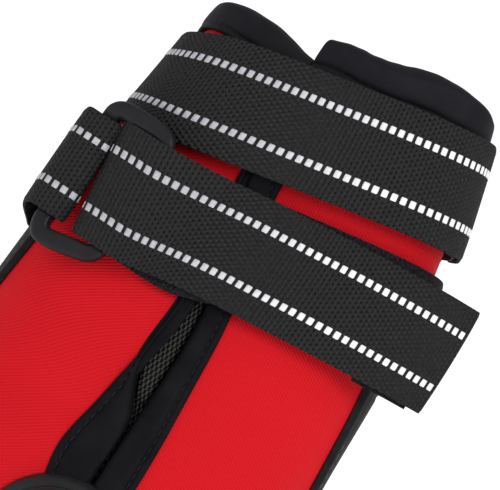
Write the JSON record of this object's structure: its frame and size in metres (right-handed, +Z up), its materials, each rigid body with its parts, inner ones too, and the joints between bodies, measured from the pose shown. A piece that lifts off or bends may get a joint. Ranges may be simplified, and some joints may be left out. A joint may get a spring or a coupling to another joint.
{
  "type": "dog boot",
  "caption": "Dog's ankle boot: soft-shell upper with a bound front split, cupped rubber sole and webbing straps doubled back through plastic rings.",
  "frame": {"origin": "on the tread's standing plane, under the middle of the boot, at the centre stud", "axes": "+Z up, toe towards -Y, -X is the side with the lower strap's ring"},
  "size_m": [0.0948, 0.096, 0.1395],
  "materials": {
    "rubber": "matt moulded rubber",
    "softshell": "red twill soft-shell, fine diagonal rib",
    "synthetic": "dark grey coated synthetic leather, satin",
    "binding": "black stretch tape, stitched",
    "gusset": "black woven elastic, diamond weave",
    "webbing": "black coarse webbing with two rows of silver reflective dashes",
    "plastic": "black moulded acetal, fine matt grain",
    "lining": "dark knitted lining over foam"
  },
  "bodies": {
    "root": {"outsole": "rubber", "insole": "lining", "upper": "softshell", "heel_counter": "synthetic", "toe_bumper": "rubber", "split_binding_left": "binding", "split_binding_right": "binding", "collar_binding": "binding", "gusset": "gusset", "strap_lower": "webbing", "hook_patch": "webbing", "ring_lower": "plastic", "strap_upper": "webbing", "ring_upper": "plastic"}
  },
  "joints": []
}
